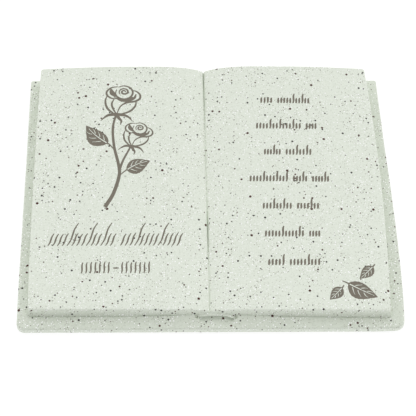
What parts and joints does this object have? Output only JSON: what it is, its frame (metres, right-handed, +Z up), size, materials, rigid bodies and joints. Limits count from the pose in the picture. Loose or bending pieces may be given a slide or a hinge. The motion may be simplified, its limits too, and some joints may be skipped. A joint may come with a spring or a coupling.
{
  "type": "open book headstone",
  "caption": "Flat memorial in the form of an open book: crowned pages that rise towards the back, on a wider cover board, cast in one piece to lie on a grave.",
  "frame": {"origin": "middle of the cover board's underside", "axes": "+X to the reader's right, +Y from the reader towards the high back edge, +Z up out of the pages"},
  "size_m": [0.217, 0.1814, 0.0233],
  "materials": {
    "cast_stone": "matte",
    "engraving": "matte"
  },
  "bodies": {
    "root": {"open_book": "cast_stone"}
  },
  "joints": []
}
